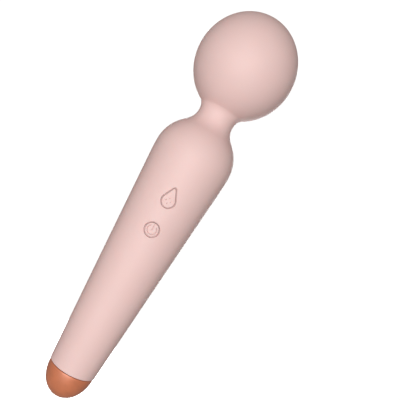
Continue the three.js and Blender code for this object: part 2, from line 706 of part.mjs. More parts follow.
function head() {
  const group = new THREE.Group();
  group.name = 'head';
  group.add(node('head_skin', headSkin(), pinkSilicone));
  group.add(node('head_shell_lower', headShellLower(), whiteAbs));
  group.add(node('head_shell_upper', headShellUpper(), whiteAbs));
  group.add(node('neck_plug', neckPlug(), greyNylon));
  group.add(node('motor_cradle', motorCradle(), greyNylon));
  group.add(node('motor_clamp_ring', clampRing(), greyNylon));
  group.add(node('motor_mount', motorMount(), blackRubber));
  group.add(node('motor_can', motorCan(), steel));
  group.add(node('motor_end_cap', motorEndCap(), blackPlastic));
  group.add(node('motor_terminal_left', motorTerminal(-TERMINAL_X), nickel));
  group.add(node('motor_terminal_right', motorTerminal(TERMINAL_X), nickel));
  group.add(node('stator_magnet_left', statorMagnet(-1), ferrite));
  group.add(node('stator_magnet_right', statorMagnet(1), ferrite));
  group.add(node('shaft_bush', shaftBush(), bronze));
  const cable = [[0, 0, HEAD_LOW], [0, 0, HEAD_LOW + 3], [0.1, 0, MOTOR_LOW - 1.8]];
  group.add(node('motor_cable_head', smoothWire(cable, CABLE_RADIUS, 6), blackWire));
  return group;
}

// ---- rotor --------------------------------------------------------------
const PRESS_GAP = 0.02;

function armature() {
  const [low, high] = [MOTOR_LOW + 6, MOTOR_LOW + 15];
  let core = ring(SHAFT_RADIUS + PRESS_GAP, 6.7, low, high, ROUND_INNER);
  for (let i = 0; i < 3; i += 1) {
    const slot = block([-0.6, 0.6], [2.4, 8], [low - 1, high + 1])
      .add(block([-1.9, 1.9], [2.4, 5.6], [low - 1, high + 1]))
      .rotate([0, 0, 120 * i]);
    core = core.subtract(slot);
  }
  return core;
}

function eccentricWeight() {
  const [low, high] = [MOTOR_HIGH + 3.2, MOTOR_HIGH + 9.4];
  const hub = disc(3.0, low, high, ROUND_INNER);
  const half = block([-FAR, FAR], [-FAR, -0.6], [low - 1, high + 1]);
  const lobe = disc(8.0, low, high, ROUND_SHELL).intersect(half);
  return hub.add(lobe).subtract(disc(SHAFT_RADIUS + PRESS_GAP, low - 1, high + 1, ROUND_INNER));
}

function rotor() {
  const group = new THREE.Group();
  group.name = 'rotor';
  group.add(node('motor_shaft', disc(SHAFT_RADIUS, MOTOR_LOW - 0.4, MOTOR_HIGH + 10.8, ROUND_INNER), steel));
  group.add(node('armature_core', armature(), ferrite));
  group.add(node('eccentric_weight', eccentricWeight(), tungsten));
  return group;
}

// ---- buttons ------------------------------------------------------------
const KEY_BACK = 4.0; // depth of the key's flange under the outside
const SYMBOL_DEEP = 0.35;
const STEM_PROUD = 1.0;

// a slice of the skin itself, so the pad follows the handle's surface
function padSolid(shape, z) {
  const reach = 9; // taller than either button
  const [low, high] = [z - reach, z + reach];
  const outside = [low, high].map((height) => [radiusAt(height), height]);
  const inside = [high, low].map((height) => [insetRadius(height, PAD_DEPTH), height]);
  return turned([...outside, ...inside]).intersect(prism(shape, z, -FAR, -8, 10));
}

function keySolid(shape, z) {
  const front = -(insetRadius(z - POWER_PAD, PAD_DEPTH) - 0.45);
  const back = -(radiusAt(z) - KEY_BACK);
  const stemEnd = SWITCH_FRONT - STEM_PROUD - TOUCH;
  const flange = prism(shape, z, front, back, 10);
  return flange.add(rod(0, z, 1.7, back - 0.1, stemEnd));
}

function powerSymbol() {
  const [inner, outer] = [1.75, 2.1];
  const opening = 0.75; // half angle of the gap at the top
  const arc = new THREE.Shape();
  arc.absarc(0, 0, outer, Math.PI / 2 + opening, Math.PI * 2.5 - opening);
  arc.absarc(0, 0, inner, Math.PI * 2.5 - opening, Math.PI / 2 + opening, true);
  const deep = -(radiusAt(POWER_Z) - SYMBOL_DEEP);
  const bar = [POWER_Z + 0.1, POWER_Z + 2.5];
  return prism(arc, POWER_Z, -FAR, deep, 10).add(block([-0.18, 0.18], [-FAR, deep], bar));
}

function modeDots() {
  let dots;
  [[-1.2, 0], [1.2, 0], [0, -1.2], [0, 1.2]].forEach(([x, z]) => {
    const dot = rod(x, MODE_Z + z, 0.32, -FAR, -(radiusAt(MODE_Z) - SYMBOL_DEEP), 10);
    dots = dots ? dots.add(dot) : dot;
  });
  return dots;
}

function switchStem(z) {
  return rod(0, z, STEM_RADIUS, SWITCH_FRONT - STEM_PROUD, SWITCH_FRONT + STEM_WELL - 0.8);
}

function buttons() {
  const group = new THREE.Group();
  group.name = 'buttons';
  group.add(node('power_pad', padSolid(roundShape(POWER_PAD), POWER_Z).subtract(powerSymbol()), pinkSilicone));
  group.add(node('power_key', keySolid(roundShape(POWER_PAD - 0.3), POWER_Z), whiteAbs));
  group.add(node('power_switch_stem', switchStem(POWER_Z), blackPlastic));
  group.add(node('mode_pad', padSolid(dropShape(0), MODE_Z).subtract(modeDots()), pinkSilicone));
  group.add(node('mode_key', keySolid(dropShape(-0.3), MODE_Z), whiteAbs));
  group.add(node('mode_switch_stem', switchStem(MODE_Z), blackPlastic));
  return group;
}

// ---- assembly -----------------------------------------------------------
function handle() {
  const group = new THREE.Group();
  group.name = 'handle';
  group.add(node('handle_skin', handleSkin(), pinkSilicone));
  group.add(node('front_shell', frontShell(), whiteAbs));
  group.add(node('rear_shell', rearShell(), whiteAbs));
  shellScrews().forEach((each) => group.add(each));
  group.add(node('neck_collar', neckCollar(), greyNylon));
  return group;
}

const wand = new THREE.Group();
wand.name = 'wand_massager';
wand.add(handle(), tail(), battery(), board(), leads(), neck(), head(), rotor(), buttons());

export default wand;
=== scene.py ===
"""The visual model of a cordless handheld wand massager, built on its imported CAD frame.

+Z runs along the wand with the head up, and the buttons face -Y. Lengths are in millimetres until a mesh is
made. Only the places and sizes of the lights are in metres.
"""

import json
import math

import bpy
import numpy as np
from mathutils import Matrix, Vector
from mathutils.geometry import delaunay_2d_cdt


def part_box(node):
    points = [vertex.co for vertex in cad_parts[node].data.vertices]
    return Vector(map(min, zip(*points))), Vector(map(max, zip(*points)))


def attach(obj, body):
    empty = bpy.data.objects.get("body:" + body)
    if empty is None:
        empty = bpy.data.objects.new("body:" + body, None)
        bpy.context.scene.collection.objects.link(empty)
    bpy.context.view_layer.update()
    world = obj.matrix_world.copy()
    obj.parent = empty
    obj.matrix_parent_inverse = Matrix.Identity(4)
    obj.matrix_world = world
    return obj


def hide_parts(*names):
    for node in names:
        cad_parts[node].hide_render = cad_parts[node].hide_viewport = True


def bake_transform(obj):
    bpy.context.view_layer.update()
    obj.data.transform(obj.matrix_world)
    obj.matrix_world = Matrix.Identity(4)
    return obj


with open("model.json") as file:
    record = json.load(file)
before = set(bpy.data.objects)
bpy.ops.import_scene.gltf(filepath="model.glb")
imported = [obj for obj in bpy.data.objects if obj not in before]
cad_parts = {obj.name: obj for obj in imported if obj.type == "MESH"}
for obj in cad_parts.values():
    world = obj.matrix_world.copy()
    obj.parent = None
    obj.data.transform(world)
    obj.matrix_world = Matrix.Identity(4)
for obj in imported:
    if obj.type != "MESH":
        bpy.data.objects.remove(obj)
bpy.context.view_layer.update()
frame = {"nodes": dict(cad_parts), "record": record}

MM = 0.001

# ---- driving dimensions, the same as the solids' ----
TOTAL = 200.0
HEAD_RADIUS = 23.65
HEAD_HALF = 25.45  # half the head's height
HEAD_Z = TOTAL - HEAD_HALF
HEAD_LOW_ANGLE = -1.08  # where the head's ellipse stops, in radians from its widest place
HEAD_PULL = 0.054  # how far the crease's curve follows the ellipse beyond that
CREASE_PULL = 2.3  # and how far it goes straight up from the waist
NECK_RADIUS = 8.95
NECK_Z = 147.3  # the waist of the neck
WAIST_PULL = 3.0
SHOULDER_RADIUS = 18.95
SHOULDER_Z = 125.9
SHOULDER_HALF = 18.8
SHOULDER_HIGH_ANGLE = 0.82
SHOULDER_PULL = 0.21
TAPER_TOP_RADIUS = 18.15
TAPER_TOP_Z = 111.1
SEAM_Z = 13.5
SEAM_RADIUS = 11.4
CAP_RADIUS = 11.15
CAP_HALF = 14.4
CAP_POWER = 2.1  # 2 would make the cap's dome a plain ellipse

POWER_Z = 89.5
POWER_RADIUS = 3.35  # to the middle of the groove round the round button
MODE_Z = 104.0
MODE_RADIUS = 3.2
MODE_POINT = 5.5  # from the middle of the drop's round end to the middle of its tip's
MODE_TIP = 0.8
GROOVE = 0.29  # from the groove's middle to the skin
PAD_GROOVE = 0.27  # and to the pad
GROOVE_DEEP = 1.25

PIN_X = 1.95
PIN_RADIUS = 0.9
MOTOR_RADIUS = 10.0
SPRING = {"radius": 4.3, "wire": 0.62, "low": 136.4, "high": 156.6, "turns": 9}
CABLE = {"radius": 1.3, "low": 141.0, "high": 154.6}

# ---- how the meshes are divided ----
BEND_LOW = 138.5  # the neck bends between these two heights
BEND_HIGH = 156.5
OVERLAP = (0.35, 0.7)  # each half of the skin goes on by these heights past the waist
TUCK = 0.02  # and slips this far under the other half, so that both shade alike where they meet
ROUND = 192
WINDOW_COLUMNS = 14  # columns of the skin's grid each side of the buttons' middle line
POWER_WINDOW = 7.2  # from the round button's middle to the edges of its window in the skin's grid
MODE_WINDOW = 10.0  # from the drop's middle to the upper edge of its window
SHADE_ATTRIBUTE = "painted_shade"  # a point attribute for the silicone's painted shade: 0 on the surface, 1 at the bottom of a groove


# ---- the outline of the skin ----
def bezier(p0, p1, p2, p3, count):
    """Points of a cubic curve."""
    t = np.linspace(0, 1, count)[:, None]
    p0, p1, p2, p3 = (np.array(p, float) for p in (p0, p1, p2, p3))
    return (1 - t) ** 3 * p0 + 3 * (1 - t) ** 2 * t * p1 + 3 * (1 - t) * t * t * p2 + t**3 * p3


def ellipse(radius, half, z, low, high, count):
    """Points (radius, height) of an upright ellipse between two angles."""
    angle = np.linspace(low, high, count)
    return np.stack([radius * np.cos(angle), z + half * np.sin(angle)], axis=1)


def ellipse_way(radius, half, angle):
    """Which way that ellipse runs at an angle, per radian."""
    return np.array([-radius * math.sin(angle), half * math.cos(angle)])


def body_outline():
    """Points (radius, height) from the cap's seam to the top of the head."""
    slope = (TAPER_TOP_RADIUS - SEAM_RADIUS) / (TAPER_TOP_Z - SEAM_Z)
    ease = (SHOULDER_Z - TAPER_TOP_Z) / 3
    taper = np.array([[SEAM_RADIUS, SEAM_Z]])
    belly = bezier(
        (TAPER_TOP_RADIUS, TAPER_TOP_Z),
        (TAPER_TOP_RADIUS + slope * ease, TAPER_TOP_Z + ease),
        (SHOULDER_RADIUS, SHOULDER_Z - ease),
        (SHOULDER_RADIUS, SHOULDER_Z),
        60,
    )
    shoulder = ellipse(SHOULDER_RADIUS, SHOULDER_HALF, SHOULDER_Z, 0, SHOULDER_HIGH_ANGLE, 80)
    lower = bezier(
        shoulder[-1],
        shoulder[-1] + SHOULDER_PULL * ellipse_way(SHOULDER_RADIUS, SHOULDER_HALF, SHOULDER_HIGH_ANGLE),
        (NECK_RADIUS, NECK_Z - WAIST_PULL),
        (NECK_RADIUS, NECK_Z),
        80,
    )
    head = ellipse(HEAD_RADIUS, HEAD_HALF, HEAD_Z, HEAD_LOW_ANGLE, math.pi / 2, 400)
    upper = bezier(
        (NECK_RADIUS, NECK_Z),
        (NECK_RADIUS, NECK_Z + CREASE_PULL),
        head[0] - HEAD_PULL * ellipse_way(HEAD_RADIUS, HEAD_HALF, HEAD_LOW_ANGLE),
        head[0],
        80,
    )
    return np.concatenate([taper, belly, shoulder[1:], lower[1:], upper[1:], head[1:]])


OUTLINE = body_outline()


def radius_at(z):
    """The skin's radius at a height."""
    return np.interp(z, OUTLINE[:, 1], OUTLINE[:, 0])


# ---- meshes ----
def piece(name, points, faces, material):
    """An object from points in millimetres and faces as lists of point numbers."""
    mesh = bpy.data.meshes.new(name)
    mesh.from_pydata((np.asarray(points, float) * MM).tolist(), [], faces)
    mesh.update()
    mesh.polygons.foreach_set("use_smooth", [True] * len(mesh.polygons))
    made = bpy.data.objects.new(name, mesh)
    bpy.context.scene.collection.objects.link(made)
    made.data.materials.append(material)
    return made


def ring_points(radius, z, count=ROUND):
    """Points of one ring, the first one in front at -Y, going towards +X."""
    angle = 2 * math.pi * np.arange(count) / count - math.pi / 2
    return np.stack([radius * np.cos(angle), radius * np.sin(angle), np.full(count, z)], axis=1)


def turned_mesh(profile, count=ROUND):
    """Points and faces of a profile of (radius, height) turned about Z. Radius 0 makes one point."""
    points, starts, faces = [], [], []
    for radius, z in profile:
        starts.append(len(points))
        ring = ring_points(radius, z, count) if radius > 1e-6 else np.array([[0.0, 0.0, z]])
        points.extend(ring)
    for row in range(len(profile) - 1):
        faces.extend(join_rows(starts[row], starts[row + 1], profile[row][0], profile[row + 1][0], count))
    return points, faces


def join_rows(low, high, low_radius, high_radius, count):
    """Faces between two rings given by their first point numbers, either of which may be one point."""
    faces = []
    for i in range(count):
        j = (i + 1) % count
        if low_radius <= 1e-6:
            faces.append((low, high + j, high + i))
        elif high_radius <= 1e-6:
            faces.append((low + i, low + j, high))
        else:
            faces.append((low + i, low + j, high + j, high + i))
    return faces


def turned(name, profile, material, count=ROUND):
    """An object that is a profile turned about Z."""
    points, faces = turned_mesh(profile, count)
    return piece(name, points, faces, material)


def box_of(node):
    """The lowest and highest corners of a CAD node, in millimetres."""
    return [tuple(value / MM for value in corner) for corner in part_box(node)]


def rounded(x, z, radius, start, end, count=5):
    """Points of a small arc about (x, z) from the angle start to the angle end, in degrees."""
    angle = np.radians(np.linspace(start, end, count))
    return [(x + radius * math.cos(a), z + radius * math.sin(a)) for a in angle]


# ---- button outlines ----
def circle_outline(grow, count):
    """count points (x, z) round a circle, from its top, anticlockwise seen from the front."""
    angle = math.pi / 2 + 2 * math.pi * np.arange(count) / count
    radius = POWER_RADIUS + grow
    return np.stack([radius * np.cos(angle), POWER_Z + radius * np.sin(angle)], axis=1)


def drop_outline(grow, count):
    """count points (x, z) round the drop, from its tip, anticlockwise seen from the front."""
    big, small = MODE_RADIUS + grow, MODE_TIP + grow
    lean = math.asin((MODE_RADIUS - MODE_TIP) / MODE_POINT)  # of the drop's straight sides
    fine = 400
    tip_angle = np.linspace(math.pi / 2, math.pi - lean, fine)
    bowl_angle = np.linspace(math.pi - lean, 3 * math.pi / 2, fine)
    tip = np.stack([small * np.cos(tip_angle), MODE_POINT + small * np.sin(tip_angle)], axis=1)
    bowl = np.stack([big * np.cos(bowl_angle), big * np.sin(bowl_angle)], axis=1)
    half = np.concatenate([tip, bowl])
    travelled = travel_of_drop(half)
    places = np.linspace(0, travelled[-1], count // 2 + 1)
    left = np.stack([np.interp(places, travelled, half[:, i]) for i in (0, 1)], axis=1)
    right = left[-2:0:-1] * np.array([-1, 1])
    return np.concatenate([left, right]) + np.array([0, MODE_Z])


def travel_of_drop(half):
    """How far along the drop's half outline each point is, with the tip counted longer than it is."""
    tip_share = 1.6
    step = np.linalg.norm(np.diff(half, axis=0), axis=1)
    step[: len(half) // 2 - 1] *= tip_share
    return np.concatenate([[0], np.cumsum(step)])


def mark_painted_shade(made):
    """Stores how far each point lies under the skin's surface, as the amount of painted shade the silicone
    puts into its grooves and engravings.
    """
    start, full = 0.02, 0.3
    place = np.array([vertex.co for vertex in made.data.vertices]) / MM
    depth = radius_at(place[:, 2]) - np.hypot(place[:, 0], place[:, 1])
    # painted shade: 0 at the surface, rising to 1 at 0.3 mm deep
    painted_shade = np.clip((depth - start) / (full - start), 0, 1)
    made.data.attributes.new(SHADE_ATTRIBUTE, "FLOAT", "POINT").data.foreach_set("value", painted_shade)


def on_handle(flat, depth):
    """Points (x, z) laid on the front of the handle, depth under its surface along Y."""
    x, z = flat[:, 0], flat[:, 1]
    y = -np.sqrt(radius_at(z) ** 2 - x**2) + depth
    return np.stack([x, y, z], axis=1)


# ---- the skin ----
def window_rim(low, high):
    """The grid places (row, column) round a window of the skin, from the top middle, anticlockwise."""
    w = WINDOW_COLUMNS
    top = [(high, -c) for c in range(0, w)]
    left = [(r, -w) for r in range(high, low, -1)]
    bottom = [(low, c) for c in range(-w, w)]
    right = [(r, w) for r in range(low, high)]
    rest = [(high, c) for c in range(w, 0, -1)]
    return top + left + bottom + right + rest


def stitch(a, b):
    """Faces between two closed loops of point numbers."""
    count = len(a)
    return [(a[i], a[(i + 1) % count], b[(i + 1) % count], b[i]) for i in range(count)]


def groove_rings(outline, count):
    """The skin's rings round one button, from its surface down into the groove and in under the pad.

    Each step is how far outside the groove's middle line a ring lies, and how deep.
    """
    steps = [(0.64, 0.0), (0.5, 0.0), (0.44, 0.004), (0.39, 0.02), (0.35, 0.05), (0.315, 0.1), (GROOVE, 0.17)]
    steps += [(GROOVE, 0.5), (GROOVE, GROOVE_DEEP - 0.14), (GROOVE - 0.04, GROOVE_DEEP - 0.04)]
    steps += [(GROOVE - 0.14, GROOVE_DEEP), (0.0, GROOVE_DEEP), (-0.2, GROOVE_DEEP), (-0.2, 1.4)]
    return [on_handle(outline(grow, count), depth) for grow, depth in steps]


def handle_rows():
    """Heights of the skin's rows above its lip, and the rows where the two button windows start and end."""
    below = [SEAM_Z + 1.2, 20, 30, 40, 50, 60, 70, 78]
    power = list(np.linspace(POWER_Z - POWER_WINDOW, POWER_Z + POWER_WINDOW, 25))
    mode = list(np.linspace(POWER_Z + POWER_WINDOW, MODE_Z + MODE_WINDOW, 29))[1:]
    above = list(np.linspace(MODE_Z + MODE_WINDOW, SHOULDER_Z, 12))[1:]
    shoulder = list(np.linspace(SHOULDER_Z, BEND_LOW, 22))[1:]
    neck = list(np.linspace(BEND_LOW, NECK_Z, 33))[1:]
    rows = below + power + mode + above + shoulder + neck
    start = len(below)
    middle = start + len(power) - 1
    return rows, (start, middle), (middle, middle + len(mode))


def lip_profile():
    """The rounded lip of the skin at the cap's seam, from inside to outside."""
    lip, inner_lip = 0.4, 0.25
    foot = SEAM_Z + 0.25
    inner = SEAM_RADIUS - 1.6
    side = SEAM_RADIUS + 0.03
    profile = [(inner, foot + 2.5), (inner, foot + 0.5)]
    profile += rounded(inner + inner_lip, foot + inner_lip, inner_lip, 180, 270, 4)
    profile += rounded(side - lip, foot + lip, lip, 270, 360, 9)
    return profile


def lower_skin(material):
    """The handle's skin and the lower half of the neck's, with the grooves of the two buttons."""
    heights, power_rows, mode_rows = handle_rows()
    lip = lip_profile()
    tail = [(radius_at(NECK_Z + past) - TUCK, NECK_Z + past) for past in OVERLAP]
    profile = lip + [(radius_at(z), z) for z in heights] + tail
    points = np.concatenate([ring_points(radius, z) for radius, z in profile])
    first = len(lip)

    def place(row, column):
        return (first + row) * ROUND + column % ROUND

    windows = [power_rows, mode_rows]
    faces = []
    for row in range(len(profile) - 1):
        beside = any(low <= row - first < high for low, high in windows)
        for column in range(ROUND):
            signed = column if column < ROUND // 2 else column - ROUND
            if beside and -WINDOW_COLUMNS <= signed < WINDOW_COLUMNS:
                continue
            after = (column + 1) % ROUND
            low_row, high_row = row * ROUND, (row + 1) * ROUND
            faces.append((low_row + column, low_row + after, high_row + after, high_row + column))
    points = list(points)
    for (low, high), outline in zip(windows, (circle_outline, drop_outline)):
        rim = [place(row, column) for row, column in window_rim(low, high)]
        add_window(points, faces, rim, outline)
    skin = piece("silicone_skin_lower", points, faces, material)
    mark_painted_shade(skin)
    return skin


def add_window(points, faces, rim, outline):
    """Fills one window of the skin: rings that pass from its square rim to the button's groove."""
    count = len(rim)
    edge = np.array([points[i] for i in rim])[:, [0, 2]]
    rings = groove_rings(outline, count)
    near = rings[0][:, [0, 2]]
    loops = [rim]
    for t in (0.16, 0.32, 0.47, 0.61, 0.74, 0.85, 0.93):
        loops.append(add_ring(points, on_handle(edge + (near - edge) * t, 0)))
    for ring in rings:
        loops.append(add_ring(points, ring))
    for outer, inner in zip(loops, loops[1:]):
        faces.extend(stitch(outer, inner))


def add_ring(points, ring):
    """Adds a ring's points and returns their numbers."""
    start = len(points)
    points.extend(ring)
    return list(range(start, start + len(ring)))


def upper_skin(material):
    """The upper half of the neck's skin and the head's."""
    start = [(radius_at(NECK_Z - past) - TUCK, NECK_Z - past) for past in OVERLAP[::-1]]
    neck = [(radius_at(z), z) for z in np.linspace(NECK_Z, BEND_HIGH, 33)]
    low = math.asin((BEND_HIGH - HEAD_Z) / HEAD_HALF)
    dome = [tuple(p) for p in ellipse(HEAD_RADIUS, HEAD_HALF, HEAD_Z, low, math.pi / 2, 90)[1:-1]]
    return turned("silicone_skin_upper", start + neck + dome + [(0.0, TOTAL)], material)


# ---- the buttons ----
def groove_mark(distance, half_width, depth):
    """Depth of a soft groove at a distance from its middle line."""
    t = np.clip(1 - distance / half_width, 0, 1)
    return depth * t * t * (3 - 2 * t)


def power_symbol(x, z):
    """Depth of the engraved power symbol: a circle that is open at the top, and a bar."""
    radius, opening = 2.15, 0.75  # the opening is half its angle in radians
    bar_low, bar_high = -0.1, 2.6
    half_width, deep = 0.3, 0.36
    away = z - POWER_Z
    angle = np.abs(np.arctan2(x, away))
    round_part = np.abs(np.hypot(x, away) - radius)
    ends = np.hypot(np.abs(x) - radius * math.sin(opening), away - radius * math.cos(opening))
    arc = np.where(angle > opening, round_part, ends)
    bar = np.hypot(x, away - np.clip(away, bar_low, bar_high))
    return groove_mark(np.minimum(arc, bar), half_width, deep)


def mode_dots(x, z):
    """Depth of the four dimples in the drop shaped button."""
    reach, half_width, deep = 1.2, 0.46, 0.4
    depth = np.zeros_like(x)
    for dot_x, dot_z in ((-reach, 0.0), (reach, 0.0), (0.0, -reach), (0.0, reach)):
        depth += groove_mark(np.hypot(x - dot_x, z - MODE_Z - dot_z), half_width, deep)
    return depth


def button_pad(name, outline, middle_z, mark, material):
    """A pad that fills its groove's inside: a wall, a rounded edge and a slightly crowned face.

    Each step of the wall is how far outside the groove's middle line it lies, and how deep.
    """
    count, face_rings = 128, 56
    crown = 0.07
    points, faces, loops = [], [], []
    wall = [(-PAD_GROOVE, 1.35), (-PAD_GROOVE, 0.7), (-PAD_GROOVE, 0.2), (-0.282, 0.12), (-0.31, 0.06)]
    wall += [(-0.35, 0.025), (-0.4, 0.006)]
    for grow, depth in wall:
        loops.append(add_ring(points, on_handle(outline(grow, count), depth)))
    middle = np.array([0, middle_z])
    edge = outline(-0.44, count)
    for t in np.linspace(1, 0.02, face_rings):
        flat = middle + (edge - middle) * t
        depth = mark(flat[:, 0], flat[:, 1]) - crown * (1 - t * t)
        loops.append(add_ring(points, on_handle(flat, depth)))
    for outer, inner in zip(loops, loops[1:]):
        faces.extend(stitch(outer, inner))
    points.extend(on_handle(middle[None, :], -crown))
    last, centre = loops[-1], len(points) - 1
    faces.extend((last[i], last[(i + 1) % count], centre) for i in range(count))
    pad = piece(name, points, faces, material)
    mark_painted_shade(pad)
    return pad


# ---- the tail ----
def cap_radius(z):
    """The radius of the cap's dome at a height."""
    return CAP_RADIUS * (1 - ((SEAM_Z - z) / CAP_HALF) ** CAP_POWER) ** (1 / CAP_POWER)


def tail_cap(material):
    """The domed cap, with a rounded rim that turns in at the seam and a small hole for its contacts."""
    hole = 3.95
    edge = 0.22
    inner = CAP_RADIUS - 1.2
    rim = [(inner, SEAM_Z - 1.6), (inner, SEAM_Z - 0.2), (inner + 0.2, SEAM_Z)]
    rim += rounded(CAP_RADIUS - edge, SEAM_Z - edge, edge, 90, 0, 6)
    steepness = np.linspace(0.07, math.pi / 2 - 0.1, 60)
    dome = []
    for angle in steepness:
        across, down = math.cos(angle) ** (2 / CAP_POWER), math.sin(angle) ** (2 / CAP_POWER)
        z = SEAM_Z - CAP_HALF * down
        if z < SEAM_Z - 2 * edge and z > 0.06:
            dome.append((CAP_RADIUS * across, z))
    flat = [(cap_radius(0.02), 0.02), (hole + 0.35, 0.0), (hole + 0.15, 0.0), (hole + 0.04, 0.05)]
    flat += [(hole, 0.15), (hole, 1.3)]
    return turned("tail_cap_shell", (rim + dome + flat)[::-1], material)


def fill_between(points, outer, holes, upwards):
    """Triangles over the flat face between one outer loop of point numbers and the round holes in it."""
    numbers, edges = [], []
    for loop in (outer, *holes):
        first = len(numbers)
        edges += [(first + i, first + (i + 1) % len(loop)) for i in range(len(loop))]
        numbers += loop
    flat = [Vector(points[i][:2]) for i in numbers]
    triangles = delaunay_2d_cdt(flat, edges, [], 0, 1e-6)[2]
    faces = []
    for triangle in triangles:
        corners = tuple(numbers[i] for i in triangle)
        if not any(set(corners) <= set(hole) for hole in holes):
            faces.append(corners if upwards else corners[::-1])
    return faces


def contact_face(material):
    """The insulating disc in the tail's tip, with a fine ring groove and a bevelled hole for each pin."""
    face, back, side, count = 0.1, 2.8, 3.9, 96
    bore, bevel = PIN_RADIUS + 0.06, 0.1
    points, faces = [], []
    rows = [(3.14, face), (3.2, face + 0.02), (3.26, face + 0.1), (3.36, face + 0.1), (3.42, face + 0.02)]
    rows += [(3.48, face), (side - 0.15, face), (side - 0.04, face + 0.04), (side, face + 0.15), (side, back)]
    outer = [add_ring(points, ring_points(radius, z, count)) for radius, z in rows]
    holes = []
    for x in (-PIN_X, PIN_X):
        steps = [(bore + bevel, face), (bore, face + bevel), (bore, back)]
        holes.append([add_ring(points, ring_points(radius, z, 48) + [x, 0, 0]) for radius, z in steps])
    for low, high in zip(outer, outer[1:]):
        faces += stitch(low, high)
    for hole in holes:
        for low, high in zip(hole, hole[1:]):
            faces += stitch(high, low)
    faces += fill_between(points, outer[0], [hole[0] for hole in holes], upwards=False)
    faces += fill_between(points, outer[-1], [hole[-1] for hole in holes], upwards=True)
    return piece("contact_disc", points, faces, material)


def charge_pin(name, x, high, material):
    """A contact pin with a domed tip that stands a little proud of the insulating disc."""
    edge = 0.3
    profile = [(0.0, 0.0), (0.3, 0.006), (0.52, 0.03)]
    profile += rounded(PIN_RADIUS - edge, edge + 0.06, edge, -75, 0, 7)
    profile += [(PIN_RADIUS, high), (0.0, high)]
    points, faces = turned_mesh(profile, 48)
    return piece(name, np.array(points) + [x, 0, 0], faces, material)


# ---- the soft pieces inside ----
def foam_pad(material):
    """The foam under the cell, pressed flat at both ends so that its side bulges."""
    (_, _, low), (radius, _, high) = box_of("battery_pad")
    squeeze = 0.35
    end = radius - 2 * squeeze
    share = np.linspace(0.06, 0.94, 14)
    bulge = [(radius - squeeze * (2 * t - 1) ** 2, low + (high - low) * t) for t in share]
    profile = [(0.0, low), (end, low), *bulge, (end, high), (0.0, high)]
    return turned("battery_foam", profile, material, 96)


def seal_ring(material):
    """A round O-ring with the fine parting line of its mould on the outside."""
    (_, _, low), (reach, _, high) = box_of("cap_seal")
    thick, middle, line = (high - low) / 2, (low + high) / 2, 0.03
    section = rounded(reach - thick, middle, thick - line, 8, 352, 29)
    section += [(reach, middle)]
    points, faces = turned_mesh([*section, section[0]], 128)
    return piece("cap_o_ring", points, faces, material)


def rubber_mount(material):
    """The rubber sleeve round the motor: sixteen soft ribs along its outside and a lip at each end."""
    (_, _, low), (reach, _, high) = box_of("motor_mount")
    bore, wall, ribs, groove, count = MOTOR_RADIUS + 0.06, 0.5, 16, 0.7, 192
    end, lip, slope = 0.25, 1.0, 1.5
    wave = 0.5 - 0.5 * np.cos(ribs * 2 * math.pi * np.arange(count) / count)
    rows = [(bore, low, 0), (bore + wall, low, 0), (reach - end, low, 0), (reach, low + end, 0)]
    rows += [(reach, low + lip, 0), (reach, low + slope, groove), (reach, high - slope, groove)]
    rows += [(reach, high - lip, 0), (reach, high - end, 0), (reach - end, high, 0)]
    rows += [(bore + wall, high, 0), (bore, high, 0)]
    points, loops = [], []
    for radius, z, deep in rows:
        ring = ring_points(1.0, z, count)
        ring[:, :2] *= (radius - deep * wave)[:, None]
        loops.append(add_ring(points, ring))
    faces = []
    for low_loop, high_loop in zip(loops, [*loops[1:], loops[0]]):
        faces += stitch(low_loop, high_loop)
    return piece("motor_rubber_sleeve", points, faces, material)


# ---- the neck's inside ----
def tube(name, path, radius, material, sides=16):
    """A round tube along a smooth path of points, closed at both ends."""
    along = np.gradient(path, axis=0)
    along /= np.linalg.norm(along, axis=1)[:, None]
    side = np.cross(along, [0, 0, 1.0])
    flat = np.linalg.norm(side, axis=1) < 1e-3
    side[flat] = [1.0, 0, 0]
    side /= np.linalg.norm(side, axis=1)[:, None]
    other = np.cross(along, side)
    points, loops, faces = [], [], []
    turn = 2 * math.pi * np.arange(sides) / sides
    for place, a, b in zip(path, side, other):
        ring = place + radius * (np.cos(turn)[:, None] * a + np.sin(turn)[:, None] * b)
        loops.append(add_ring(points, ring))
    for low, high in zip(loops, loops[1:]):
        faces.extend(stitch(low, high))
    faces.append(tuple(loops[0][::-1]))
    faces.append(tuple(loops[-1]))
    return piece(name, points, faces, material)


def spring_path(low, high):
    """The middle line of the spring's wire between two heights."""
    count = 200
    z = np.linspace(low, high, count)
    share = (z - SPRING["low"]) / (SPRING["high"] - SPRING["low"])
    angle = 2 * math.pi * SPRING["turns"] * share
    return np.stack([SPRING["radius"] * np.cos(angle), SPRING["radius"] * np.sin(angle), z], axis=1)


# ---- materials ----
SILICONE_COLOUR = (0.802, 0.574, 0.546)
# painted shade: the darker colour the silicone is given towards the bottom of its grooves, engravings and
# dimples
GROOVE_SHADE_COLOUR = (0.69, 0.485, 0.465)
COPPER_COLOUR = (0.675, 0.2, 0.081)
FLOOR_DARK = (0.93, 0.93, 0.93)
FLOOR_LIGHT = (0.96, 0.96, 0.96)


def shader(name):
    """A new node material, its tree and its Principled shader."""
    material = bpy.data.materials.new(name)
    material.use_nodes = True
    tree = material.node_tree
    return material, tree, tree.nodes["Principled BSDF"]


def noise(tree, scale, detail=2.0, stretch=None):
    """A noise value in the piece's own coordinates. scale counts per metre."""
    place = tree.nodes.new("ShaderNodeTexCoord")
    texture = tree.nodes.new("ShaderNodeTexNoise")
    texture.inputs["Scale"].default_value = scale
    texture.inputs["Detail"].default_value = detail
    source = place.outputs["Object"]
    if stretch:
        mapping = tree.nodes.new("ShaderNodeMapping")
        mapping.inputs["Scale"].default_value = stretch
        tree.links.new(source, mapping.inputs["Vector"])
        source = mapping.outputs["Vector"]
    tree.links.new(source, texture.inputs["Vector"])
    return texture.outputs["Fac"]


